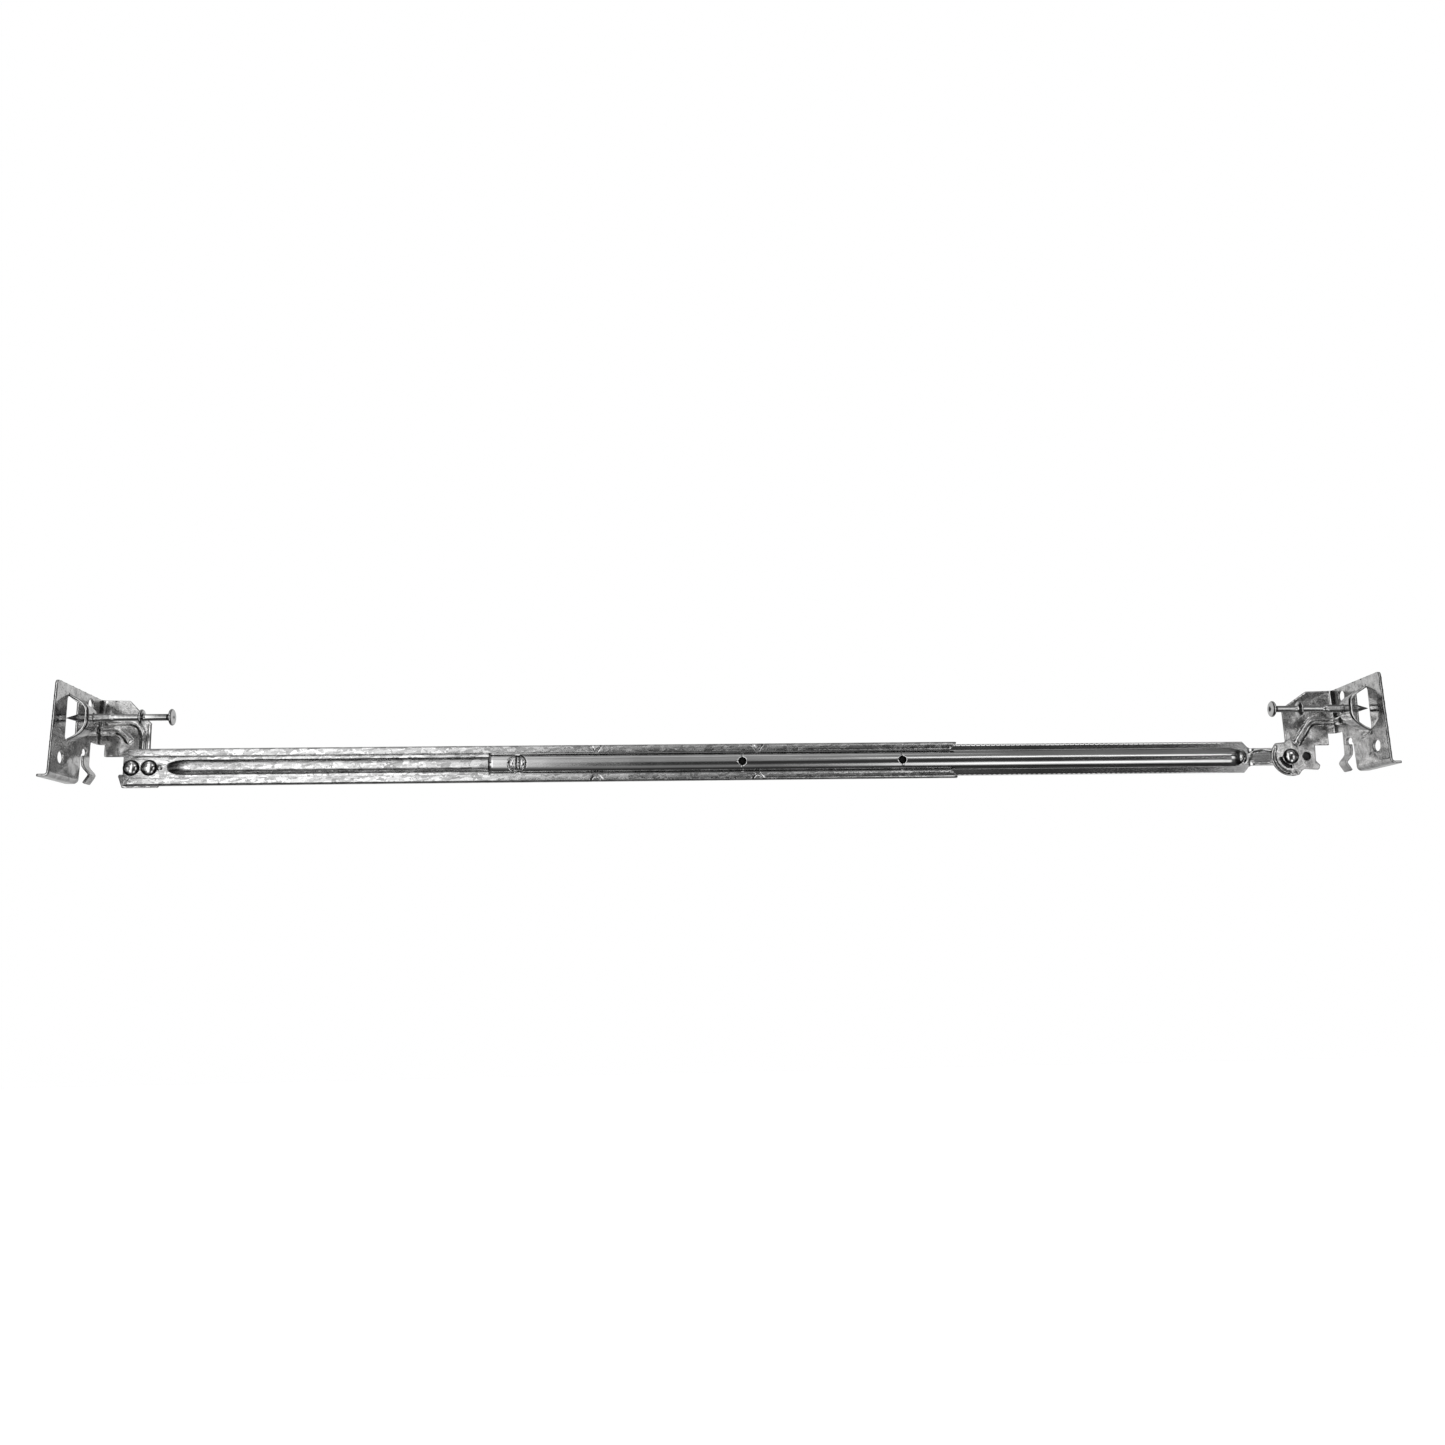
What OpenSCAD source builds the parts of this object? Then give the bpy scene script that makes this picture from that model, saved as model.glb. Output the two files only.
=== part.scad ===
// Telescoping bar hanger: carries a recessed light housing between two ceiling joists.
// X runs along the bar from the left joist face, Z is up, -Y faces the room side of the bar.
// The origin is on the left joist face, level with the rail rivets and in the plane of the nails.

/* [Span] */
// Distance between the two joist faces, as the rails are shown
span = 490; // [369:1:610]

/* [Sheet] */
// Thickness of the bracket steel
bracket_sheet = 0.9; // [0.6:0.1:1.2]
// Thickness of the rail steel
rail_sheet = 0.8; // [0.6:0.1:1.0]

/* [Rails] */
// Length of the outer rail
outer_length = 323.4; // [300:0.1:340]
// Height of the outer rail across its folded sides
outer_width = 14.4; // [13:0.1:16]
// Room between the outer web and its lips
channel_gap = 1.4; // [1.2:0.1:2]
// Width of each returned lip, outside
lip_width = 3.0; // [2:0.1:3.4]
// Width of the rib pressed in the outer web
outer_rib_width = 5.5; // [4:0.1:5.6]
// Height of the outer rib above the web
outer_rib_height = 1.9; // [1:0.1:2]
// Length of the inner rail, from its free end to the pivot
inner_length = 319.6; // [300:0.1:340]
// Height of the inner rail across its edges
inner_width = 12.5; // [12:0.1:12.6]
// Width of the ridge down the inner rail
ridge_width = 7.4; // [6.5:0.1:7.6]
// Height of the ridge above the inner rail's edges
ridge_height = 2.2; // [2:0.1:2.6]
// Height of the flat neck that carries the pivot
neck_width = 7.0; // [6:0.1:8]
// Spacing of the score marks on both rails
score_pitch = 63.3; // [50:0.1:70]

/* [Joist flange] */
// Height of the joist flange's top edge at the bend
flange_top = 26.5; // [20:0.1:30]
// Depth of the joist flange towards the front, at the lip
flange_front = 16.3; // [12:0.1:20]
// Bottom of the joist flange, the underside of its lip
lip_bottom = -7.8; // [-10:0.1:-6]
// How far the lip reaches under the joist
lip_reach = 3.6; // [3:0.1:8]
// Radius of both screw holes
screw_hole_r = 2.2; // [1.8:0.1:2.6]
// How far the nail strap stands in from the joist face
strap_reach = 7.6; // [6:0.1:9]

/* [Nails] */
// Height of the nails above the rivets
nail_height = 15.9; // [14:0.1:18]
// Whole length of a nail
nail_length = 38.8; // [35:0.1:45]
// How far a nail's point stands out of the joist face
nail_point_out = 2.2; // [0:0.1:4]
// Shank diameter
shank_d = 2.5; // [2:0.1:3]
// Diameter over the flutes that the strap grips
flute_d = 3.1; // [2.8:0.1:3.4]
// Head diameter
head_d = 6.2; // [5:0.1:8]
// Collar diameter
collar_d = 6.0; // [5:0.1:7]

/* [Rivets] */
// Rivet shank diameter
rivet_d = 3.2; // [2.5:0.1:4]
// Rivet head diameter
rivet_head_d = 6.2; // [5:0.1:6.4]
// Height of the domed rivet head
rivet_head_h = 1.25; // [0.8:0.05:1.6]
// Distance of the first rivet hole from the joist face
rivet_inner_x = 13.7; // [13:0.1:15]
// Distance of the second rivet, the pivot, from the joist face
rivet_outer_x = 20.4; // [20:0.1:22]

/* [Hidden] */
$fn = 48;
EPS = 0.01;
BIG = 60;
RIVET_GAP = 0.03;
STACK_GAP = 0.05;

// Depths, front faces and back faces, measured along Y.
web_back = 21.7;
web_front = web_back - rail_sheet;
lip_back = web_front - channel_gap;
lip_front = lip_back - rail_sheet;
inner_back = web_front - 0.3;
inner_front = inner_back - rail_sheet;
left_arm_front = web_back;
right_arm_front = inner_front - STACK_GAP - bracket_sheet;

// Rails along X. The first end of each is the one nearer the left joist.
outer_start = 10.6;
outer_end = outer_start + outer_length;
lip_start = outer_start + 2.8;
outer_rib_start = 27.5;
pivot_x = span - rivet_outer_x;
inner_start = pivot_x - inner_length;
neck_start = pivot_x - 19.2;
ridge_end = neck_start - 0.4;
// The neck runs on behind the right bracket's spare hole and ends round.
neck_eye_x = pivot_x + 5.2;
pivot_eye_r = 5.2;
stop_dimple_x = inner_start + 11.2;
stop_dimple_r = 3.4;
inner_scores = [inner_start + 98.8, inner_start + 98.8 + score_pitch];
outer_scores = [outer_start + 181.0, outer_start + 181.0 + score_pitch];
score_hole_r = 1.5;
score_depth = 0.2;
score_width = 0.4;
notch_depth = 1.1;

// Both ribs are arcs of a circle through their foot and crown.
outer_rib_r = (pow(outer_rib_width / 2, 2) + pow(outer_rib_height, 2)) / (2 * outer_rib_height);
outer_rib_y = web_front - outer_rib_height + outer_rib_r;
ridge_r = (pow(ridge_width / 2, 2) + pow(ridge_height, 2)) / (2 * ridge_height);
ridge_y = inner_front - ridge_height + ridge_r;

// Locating pip and the arc slot it runs in, both at one radius about the second rivet.
pip_radius = 4.0;
pip_r = 0.5;
swing_slot_half = 0.8;
swing_angle = 90;

// Bracket details, as distances from the joist face and heights above the rivets.
bend_r = 1.0;
bend_bottom = 9.2;
flange_corner = [-14.6, 27.6];
panel_back = [[8.2, 5.4], [7.0, -4.6]];
window_front = -5.2;
window_back = 2.8;
window_low = 6.3;
window_high = 24.0;
finger_front = 8.9;
finger_back = 14.3;
finger_sheet = 0.8;
lower_hole = [-8.5, 0];
upper_hole = [12.5, 23.2];
relief_hole = [10.3, 4.5];
relief_r = 1.25;
lobe_r = 7.9;
bead_height = 0.7;
bead_width = 2.4;

// Nail stations, measured from the joist face.
head_sheet = 0.8;
nail_point_length = 4.5;
flute_end = 14.8;
collar_x = 24.8;
collar_sheet = 1.0;
strap_hole_r = flute_d / 2 + 0.07;

// ---- helpers ----

// Lifts a flat (y, z) drawing along X.
module along_x(length) {
    rotate([90, 0, 90])
        linear_extrude(length) children();
}

// Gives a flat (x, z) drawing a thickness towards the front, from the back face's y.
module plate(back, thickness) {
    translate([0, back, 0])
        rotate([90, 0, 0])
            linear_extrude(thickness) children();
}

module rod_x(x, y, z, length, r) {
    translate([x, y, z])
        rotate([0, 90, 0])
            cylinder(h = length, r = r);
}

module rod_y(x, front, z, length, r) {
    translate([x, front, z])
        rotate([-90, 0, 0])
            cylinder(h = length, r = r);
}

// Places a bracket, drawn for the left joist, at the right joist.
module at_right_joist() {
    translate([span, 0, 0])
        mirror([1, 0, 0]) children();
}

function unit(v) = v / norm(v);
function left_of(v) = [-v[1], v[0]];

// Direction of a path at point i, the mean of the runs that meet there.
function heading(path, i) =
    let (before = i > 0 ? unit(path[i] - path[i - 1]) : [0, 0])
    let (after = i < len(path) - 1 ? unit(path[i + 1] - path[i]) : [0, 0])
    unit(before + after);

// Outline of a strip of sheet bent along a path.
function strip(path, thickness) = concat(
    [for (i = [0 : len(path) - 1]) path[i] + left_of(heading(path, i)) * thickness / 2],
    [for (i = [len(path) - 1 : -1 : 0]) path[i] - left_of(heading(path, i)) * thickness / 2]
);

function arc_points(centre, r, from, to, steps) =
    [for (i = [0 : steps]) centre + r * [cos(from + (to - from) * i / steps),
                                         sin(from + (to - from) * i / steps)]];

// A bead pressed in a plate: a low step with a narrower crown, along a path of (x, z).
module bead(path, front) {
    plate(front + EPS, bead_height / 2 + EPS)
        polygon(strip(path, bead_width));
    plate(front + EPS, bead_height + EPS)
        polygon(strip(path, bead_width / 2));
}

// ---- rails ----

module outer_channel() {
    half = outer_width / 2;
    inside = half - rail_sheet;
    difference() {
        translate([outer_start, lip_front, -half])
            cube([outer_length, web_back - lip_front, outer_width]);
        translate([outer_start - 1, lip_back, -inside])
            cube([outer_length + 2, channel_gap, 2 * inside]);
        translate([outer_start - 1, lip_front - 1, lip_width - half])
            cube([outer_length + 2, lip_back - lip_front + 2, outer_width - 2 * lip_width]);
        // The folded sides start a little in from the web's end.
        translate([outer_start - 1, lip_front - 1, -half - 1])
            cube([lip_start - outer_start + 1, web_front - lip_front + 1, outer_width + 2]);
    }
}

// Everything on one lip that is cut away: score grooves, notches and the sloped end.
module lip_cuts() {
    free_edge = outer_width / 2 - lip_width;
    for (x = outer_scores) {
        translate([x - score_width / 2, lip_front - 1, free_edge - 1])
            cube([score_width, 1 + score_depth, lip_width + 2]);
        plate(lip_back + 0.5, 2)
            polygon([[x - notch_depth / 2, free_edge - EPS], [x + notch_depth / 2, free_edge - EPS],
                     [x, free_edge + notch_depth]]);
    }
    plate(lip_back + 0.5, 2)
        polygon([[outer_end - 2, free_edge - EPS], [outer_end + 1, free_edge - EPS],
                 [outer_end + 1, free_edge + 2]]);
}

module outer_rib(r, start) {
    translate([start + outer_rib_r, outer_rib_y, 0]) sphere(r = r);
    rod_x(start + outer_rib_r, outer_rib_y, 0, outer_end - start - outer_rib_r + 1, r);
}

module outer_rail() {
    color([0.80, 0.81, 0.83])
    difference() {
        union() {
            outer_channel();
            intersection() {
                outer_rib(outer_rib_r, outer_rib_start);
                translate([outer_start, web_front - 5, -BIG])
                    cube([outer_length, web_back - web_front + 5, 2 * BIG]);
            }
            rod_y(rivet_outer_x + pip_radius, web_front - 0.4, 0, 0.8, pip_r + 0.2);
        }
        outer_rib(outer_rib_r - rail_sheet, outer_rib_start);
        lip_cuts();
        mirror([0, 0, 1]) lip_cuts();
        for (x = [rivet_inner_x, rivet_outer_x])
            rod_y(x, web_front - 1, 0, rail_sheet + 2, rivet_d / 2 + RIVET_GAP);
    }
}

// Outline of the inner rail's flat sheet: chamfered free end, long edges, neck, round far end.
module inner_outline() {
    half = inner_width / 2;
    neck = neck_width / 2;
    polygon([
        [inner_start, -half + 1.6], [inner_start + 1.9, -half], [neck_start, -half],
        [neck_start + 2.2, -neck], [neck_eye_x, -neck], [neck_eye_x, neck],
        [neck_start + 2.2, neck], [neck_start, half], [inner_start + 1.9, half],
        [inner_start, half - 1.6]
    ]);
}

module ridge(r) {
    rod_x(inner_start - 1, ridge_y, 0, ridge_end - ridge_width / 2 - inner_start + 1, r);
    translate([ridge_end - ridge_width / 2, ridge_y, 0]) sphere(r = r);
}

module inner_rail() {
    color([0.74, 0.75, 0.77])
    difference() {
        union() {
            plate(inner_back, rail_sheet) inner_outline();
            rod_y(neck_eye_x, inner_front, 0, rail_sheet, neck_width / 2);
            rod_y(pivot_x, inner_front, 0, rail_sheet, pivot_eye_r);
            intersection() {
                ridge(ridge_r);
                translate([inner_start, inner_front - 5, -BIG])
                    cube([inner_length, rail_sheet + 5, 2 * BIG]);
            }
            rod_y(pivot_x - pip_radius, right_arm_front + 0.1, 0, 1.2, pip_r);
        }
        ridge(ridge_r - rail_sheet);
        rod_y(stop_dimple_x, inner_front - ridge_height - 1, 0, 1 + rail_sheet / 2, stop_dimple_r);
        for (x = inner_scores) {
            rod_y(x, inner_front - ridge_height - 1, 0, 3, score_hole_r);
            translate([x - score_width / 2, inner_front - ridge_height - 1, -ridge_width / 2])
                cube([score_width, 1 + score_depth, ridge_width]);
        }
        rod_y(pivot_x, inner_front - 1, 0, rail_sheet + 2, rivet_d / 2 + RIVET_GAP);
    }
}

// ---- brackets, drawn for the left joist ----

module flange_outline(bend_y) {
    difference() {
        polygon(concat(
            [[-flange_front, lip_bottom + bracket_sheet + 0.8]],
            arc_points(flange_corner + [1.5, -1.5], 1.5, 176, 88, 5),
            [[bend_y, flange_top], [bend_y, bend_bottom], [finger_back, bend_bottom],
             [finger_back, relief_hole[1] + relief_r + 1], [panel_back[0][0], relief_hole[1] + relief_r + 1],
             panel_back[0], panel_back[1], [panel_back[1][0] - 0.2, lip_bottom + bracket_sheet + 0.8]]
        ));
        // The opening that the nail strap is raised from.
        polygon([[window_front, window_low], [window_front, window_high],
                 [window_back, window_high - 1.6], [window_back, window_low + 1.6]]);
    }
}

// The bottom fold and the lip that hooks under the joist.
module joist_lip() {
    fold_r = 0.8;
    length = flange_front + panel_back[1][0] - 0.2;
    translate([-fold_r, -flange_front, lip_bottom + bracket_sheet + fold_r]) {
        rotate([-90, 0, 0])
            rotate_extrude(angle = 90)
                translate([fold_r, 0]) square([bracket_sheet, length]);
        translate([fold_r - lip_reach, 0, -fold_r - bracket_sheet])
            cube([lip_reach - fold_r, length, bracket_sheet]);
    }
}

module nail_strap() {
    top = strap_reach - bracket_sheet / 2;
    mid = nail_height;
    root = bracket_sheet / 2;
    path = [
        [root, mid - 10.3], [root + 0.7, mid - 9.5], [root + 2.7, mid - 8.2],
        [root + 4.5, mid - 6.7], [top - 0.9, mid - 5.0], [top - 0.2, mid - 3.6], [top, mid - 2.5],
        [top, mid + 2.5], [top - 0.2, mid + 3.4], [top - 1.1, mid + 4.7],
        [root + 3.8, mid + 6.1], [root + 2.0, mid + 7.3], [root + 0.5, mid + 8.3], [root, mid + 9.1]
    ];
    difference() {
        plate(window_back, window_back - window_front)
            polygon(strip(path, bracket_sheet));
        rod_x(strap_reach - 3, 0, nail_height, 5, strap_hole_r);
    }
}

// The springy finger that snaps over the bulb of a ceiling grid bar.
module grid_finger() {
    near = bracket_sheet - finger_sheet / 2;
    path = [[near, bend_bottom + 0.4], [near, 0.2], [near + 0.3, -0.9], [3.1, -3.5], [3.1, -4.2], [1.3, -7.2]];
    difference() {
        plate(finger_back, finger_back - finger_front)
            polygon(strip(path, finger_sheet));
        for (y = [relief_hole[0] - 0.75, relief_hole[0] + 0.75])
            rod_x(-1, y, relief_hole[1], 3, relief_r);
        translate([-1, relief_hole[0] - 2, relief_hole[1] - relief_r])
            cube([3, 2.75, 2 * relief_r]);
    }
}

module joist_flange(bend_y) {
    difference() {
        along_x(bracket_sheet) flange_outline(bend_y);
        rod_x(-1, lower_hole[0], lower_hole[1], 3, screw_hole_r);
        rod_x(-1, upper_hole[0], upper_hole[1], 3, screw_hole_r);
        for (y = [relief_hole[0] - 0.75, relief_hole[0] + 0.75])
            rod_x(-1, y, relief_hole[1], 3, relief_r);
    }
    joist_lip();
    nail_strap();
    grid_finger();
}

// The vertical bend from the joist flange into the arm.
module arm_bend(front) {
    translate([bracket_sheet + bend_r, front - bend_r, bend_bottom])
        rotate([0, 0, 90])
            rotate_extrude(angle = 90)
                translate([bend_r, 0]) square([bracket_sheet, flange_top - bend_bottom]);
}

module arm_holes(front) {
    for (x = [rivet_inner_x, rivet_outer_x])
        rod_y(x, front - 1, 0, bracket_sheet + 2, rivet_d / 2 + RIVET_GAP);
}

// The left arm lies behind the outer rail and is riveted to it twice.
module left_arm() {
    start = bracket_sheet + bend_r - EPS;
    arm_back = left_arm_front + bracket_sheet;
    difference() {
        union() {
            plate(arm_back, bracket_sheet)
                polygon([[start, flange_top], [11.2, flange_top], [19.9, 17.5], [20.1, 6.4],
                         [25.4, 5.4], [27.4, 3.0], [27.8, 0], [27.0, -4.0], [23.5, -7.6], [10.2, -7.6],
                         [8.3, -2.4], [11.0, -2.4], [11.0, 4.5], [2.8, 4.5], [2.8, bend_bottom],
                         [start, bend_bottom]]);
            bead([[start + 1.4, 14.6], [7.4, 14.6], [11.6, 11.2], [13.4, 8.9]], left_arm_front);
            bead([[start + 1.4, 18.0], [12.2, 18.0], [15.8, 16.0], [17.4, 11.6], [17.4, 8.9]],
                 left_arm_front);
        }
        arm_holes(left_arm_front);
    }
}

// The right arm lies in front of the inner rail's neck and swings about the second hole.
module right_arm() {
    start = bracket_sheet + bend_r - EPS;
    arm_back = right_arm_front + bracket_sheet;
    difference() {
        union() {
            plate(arm_back, bracket_sheet)
                polygon([[start, flange_top], [11.6, flange_top], [22.3, 19.4], [22.1, 5.4],
                         [25.4, 5.4], [rivet_outer_x, -lobe_r], [17.4, -7.4], [16.2, -5.6], [15.2, -5.1],
                         [9.9, -5.5], [9.0, -4.9], [8.6, -3.6], [10.2, -2.0], [10.0, 4.4], [4.2, 4.4],
                         [4.2, bend_bottom], [start, bend_bottom]]);
            rod_y(rivet_outer_x, right_arm_front, 0, bracket_sheet, lobe_r);
            bead([[start + 1.4, 14.0], [9.4, 14.2], [11.0, 13.7], [12.2, 12.6], [18.0, 4.8]],
                 right_arm_front);
        }
        arm_holes(right_arm_front);
        swing_slot();
    }
}

// The arc that the pip on the neck runs in. It sets how far the right bracket can swing.
module swing_slot() {
    translate([rivet_outer_x, right_arm_front - 1, 0])
        rotate([-90, 0, 0]) {
            rotate_extrude(angle = swing_angle)
                translate([pip_radius - swing_slot_half, 0])
                    square([2 * swing_slot_half, bracket_sheet + 2]);
            for (a = [0, swing_angle])
                rotate([0, 0, a])
                    translate([pip_radius, 0, 0])
                        cylinder(h = bracket_sheet + 2, r = swing_slot_half);
        }
}

module left_bracket() {
    color([0.62, 0.61, 0.60]) {
        joist_flange(left_arm_front - bend_r);
        arm_bend(left_arm_front);
        left_arm();
    }
}

module right_bracket() {
    color([0.62, 0.61, 0.60])
    at_right_joist() {
        joist_flange(right_arm_front - bend_r);
        arm_bend(right_arm_front);
        right_arm();
        // A small stiffening bar pressed under the nail strap.
        translate([bracket_sheet - EPS, -6.3, 4.4])
            cube([0.3, 7.6, 1.2]);
    }
}

// ---- rivets ----

// A domed rivet through a stack of two sheets, given the stack's front and back faces.
module rivet(x, front, back) {
    rim = 0.25;
    dome_r = (pow(rivet_head_d / 2, 2) + pow(rivet_head_h - rim, 2)) / (2 * (rivet_head_h - rim));
    face = front - STACK_GAP;
    rod_y(x, face - EPS, 0, back - front + 2 * STACK_GAP + 2 * EPS, rivet_d / 2);
    rod_y(x, face - rim, 0, rim, rivet_head_d / 2);
    intersection() {
        translate([x, face - rivet_head_h + dome_r, 0]) sphere(r = dome_r);
        rod_y(x, face - rim - 3, 0, 3, rivet_head_d / 2);
    }
    rod_y(x, back + STACK_GAP, 0, 0.7, rivet_head_d / 2 - 0.3);
}

module left_rivet_inner() {
    color([0.85, 0.86, 0.88])
        rivet(rivet_inner_x, web_front, left_arm_front + bracket_sheet);
}

module left_rivet_outer() {
    color([0.85, 0.86, 0.88])
        rivet(rivet_outer_x, web_front, left_arm_front + bracket_sheet);
}

module right_pivot_rivet() {
    color([0.85, 0.86, 0.88])
        rivet(pivot_x, right_arm_front, inner_back);
}

// ---- nails ----

module nail() {
    point = -nail_point_out;
    head_face = point + nail_length;
    translate([point, 0, nail_height])
        rotate([0, 90, 0])
            cylinder(h = nail_point_length, r1 = 0.15, r2 = flute_d / 2);
    rod_x(point + nail_point_length - EPS, 0, nail_height, flute_end - point - nail_point_length, flute_d / 2);
    rod_x(flute_end - 1, 0, nail_height, head_face - flute_end + 0.5, shank_d / 2);
    rod_x(collar_x, 0, nail_height, collar_sheet, collar_d / 2);
    rod_x(head_face - head_sheet, 0, nail_height, head_sheet, head_d / 2);
}

module left_nail() {
    color([0.83, 0.83, 0.85])
        nail();
}

module right_nail() {
    color([0.83, 0.83, 0.85])
        at_right_joist() nail();
}

outer_rail();
inner_rail();
left_bracket();
right_bracket();
left_rivet_inner();
left_rivet_outer();
right_pivot_rivet();
left_nail();
right_nail();
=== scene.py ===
"""Telescoping bar hanger: formed sheet-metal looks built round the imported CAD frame, in metres."""

import math

import bpy
import numpy as np
from mathutils import Matrix, Vector
from mathutils.geometry import delaunay_2d_cdt


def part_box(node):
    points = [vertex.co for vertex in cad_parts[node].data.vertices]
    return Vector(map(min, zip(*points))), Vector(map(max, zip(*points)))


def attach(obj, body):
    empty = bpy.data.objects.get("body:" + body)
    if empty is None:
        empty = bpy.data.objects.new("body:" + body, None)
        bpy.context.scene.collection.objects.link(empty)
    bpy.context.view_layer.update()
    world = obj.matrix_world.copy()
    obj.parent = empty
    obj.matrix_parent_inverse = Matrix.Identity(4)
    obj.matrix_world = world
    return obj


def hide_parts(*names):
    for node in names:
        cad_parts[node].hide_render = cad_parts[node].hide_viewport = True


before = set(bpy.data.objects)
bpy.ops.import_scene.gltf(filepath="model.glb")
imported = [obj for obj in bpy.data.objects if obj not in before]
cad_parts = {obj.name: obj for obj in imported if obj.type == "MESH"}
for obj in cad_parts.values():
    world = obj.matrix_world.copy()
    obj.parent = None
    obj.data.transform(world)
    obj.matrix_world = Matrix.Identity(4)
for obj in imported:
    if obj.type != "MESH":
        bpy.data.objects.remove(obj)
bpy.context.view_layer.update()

MM = 0.001

# ---- sizes shared with the CAD, in millimetres ----

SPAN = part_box("right_bracket")[1][0] / MM - 3.6
BRACKET_SHEET = 0.9
RAIL_SHEET = 0.8
WEB_BACK = 21.7
WEB_FRONT = WEB_BACK - RAIL_SHEET
LIP_BACK = WEB_FRONT - 1.4
INNER_BACK = WEB_FRONT - 0.3
INNER_FRONT = INNER_BACK - RAIL_SHEET
LEFT_ARM_FRONT = WEB_BACK
RIGHT_ARM_FRONT = INNER_FRONT - 0.05 - BRACKET_SHEET
OUTER_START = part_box("outer_rail")[0][0] / MM
OUTER_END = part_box("outer_rail")[1][0] / MM
INNER_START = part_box("inner_rail")[0][0] / MM
OUTER_HALF = 7.2
INNER_HALF = 6.25
RIDGE_HEIGHT = 2.2
NECK_HALF = 3.5
SCORE_PITCH = 63.3
OUTER_SCORES = (OUTER_START + 181.0, OUTER_START + 181.0 + SCORE_PITCH)
INNER_SCORES = (INNER_START + 98.8, INNER_START + 98.8 + SCORE_PITCH)
RIVET_INNER = 13.7
RIVET_OUTER = 20.4
PIVOT = SPAN - RIVET_OUTER
PIP_RADIUS = 4.0
LOBE_R = 7.9
EYE_R = 5.2
RIVET_HOLE_R = 1.63
SCORE_HOLE_R = 1.5
SCREW_HOLE_R = 2.2
NAIL_HEIGHT = 15.9
NAIL_POINT_OUT = 2.2
NAIL_LENGTH = 38.8
BEND_R = 1.0
BEND_BOTTOM = 9.2
FLANGE_TOP = 26.5
FLANGE_FRONT = 16.3
FOLD_Z = -6.1
FOLD_R = 0.8
LIP_REACH = 3.6


# ---- flat drawing helpers ----


def rounded(points, default=0.0):
    """A closed outline with its corners rounded; a point is (a, b) or (a, b, radius)."""
    out = []
    n = len(points)
    for i, p in enumerate(points):
        radius = p[2] if len(p) > 2 else default
        here = np.array(p[:2], float)
        before = np.array(points[i - 1][:2], float) - here
        after = np.array(points[(i + 1) % n][:2], float) - here
        la, lb = np.linalg.norm(before), np.linalg.norm(after)
        before, after = before / la, after / lb
        cosine = np.clip(before @ after, -1, 1)
        half = math.acos(cosine) / 2
        if radius < 1e-6 or half > math.pi / 2 - 0.02:
            out.append(tuple(here))
            continue
        reach = min(radius / math.tan(half), la * 0.49, lb * 0.49)
        radius = reach * math.tan(half)
        start, end = here + before * reach, here + after * reach
        centre = here + (before + after) / np.linalg.norm(before + after) * radius / math.sin(half)
        a0 = math.atan2(*(start - centre)[::-1])
        a1 = math.atan2(*(end - centre)[::-1])
        turn = (a1 - a0 + math.pi) % (2 * math.pi) - math.pi
        steps = max(2, int(abs(turn) * radius / 0.25) + 2)
        for k in range(steps + 1):
            a = a0 + turn * k / steps
            out.append((centre[0] + radius * math.cos(a), centre[1] + radius * math.sin(a)))
    return out


def circle(a, b, r, n=40):
    """A closed round outline."""
    return [(a + r * math.cos(2 * math.pi * i / n), b + r * math.sin(2 * math.pi * i / n)) for i in range(n)]


def resampled(loop, step):
    """A closed outline with its long edges divided into pieces of about step."""
    out = []
    for p, q in zip(loop, loop[1:] + loop[:1]):
        length = math.dist(p, q)
        if length < 1e-4:
            continue
        n = max(1, round(length / step))
        out += [(p[0] + (q[0] - p[0]) * k / n, p[1] + (q[1] - p[1]) * k / n) for k in range(n)]
    return out


def inside(points, loops):
    """Even-odd test of many points against closed loops."""
    hit = np.zeros(len(points), bool)
    x, y = points[:, 0], points[:, 1]
    for loop in loops:
        a = np.array(loop)
        b = np.roll(a, -1, axis=0)
        for (x1, y1), (x2, y2) in zip(a, b):
            if y1 == y2:
                continue
            crosses = (y1 > y) != (y2 > y)
            hit ^= crosses & (x < (x2 - x1) * (y - y1) / (y2 - y1) + x1)
    return hit


def path_distance(points, path):
    """Distance of each point from an open path, and how far along the path its nearest point is."""
    best = np.full(len(points), 1e9)
    along = np.zeros(len(points))
    run = 0.0
    for p, q in zip(path, path[1:]):
        p, q = np.array(p, float), np.array(q, float)
        d = q - p
        length = np.linalg.norm(d)
        t = np.clip(((points - p) @ d) / length**2, 0, 1)
        gap = np.linalg.norm(points - (p + t[:, None] * d), axis=1)
        nearer = gap < best
        best = np.where(nearer, gap, best)
        along = np.where(nearer, run + t * length, along)
        run += length
    return best, along


def smooth(t):
    """Eases from 0 to 1 as t goes from 0 to 1."""
    t = np.clip(t, 0, 1)
    return t * t * (3 - 2 * t)


def softened_table(knots, steps=400, blur=9):
    """A smooth curve through (input, output) knots, as two arrays for np.interp."""
    xs = np.linspace(knots[0][0], knots[-1][0], steps)
    ys = np.interp(xs, [k[0] for k in knots], [k[1] for k in knots])
    pad = np.concatenate([np.full(blur, ys[0]), ys, np.full(blur, ys[-1])])
    kernel = np.hanning(2 * blur + 3)[1:-1]
    kernel /= kernel.sum()
    return xs, np.convolve(pad, kernel, "valid")


# ---- meshes ----


def add_mesh(name, verts, faces, body, material, replaced=(), slot=None):
    """One visible piece, from millimetres to metres, on its body and in place of its CAD nodes."""
    mesh = bpy.data.meshes.new(name)
    mesh.from_pydata([tuple(v * MM) for v in verts], [], faces)
    mesh.validate()
    mesh.update()
    obj = bpy.data.objects.new(name, mesh)
    bpy.context.scene.collection.objects.link(obj)
    mesh.materials.append(material)
    mesh.polygons.foreach_set("use_smooth", [True] * len(mesh.polygons))
    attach(obj, body)
    if replaced:
        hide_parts(*replaced)
    return obj


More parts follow.
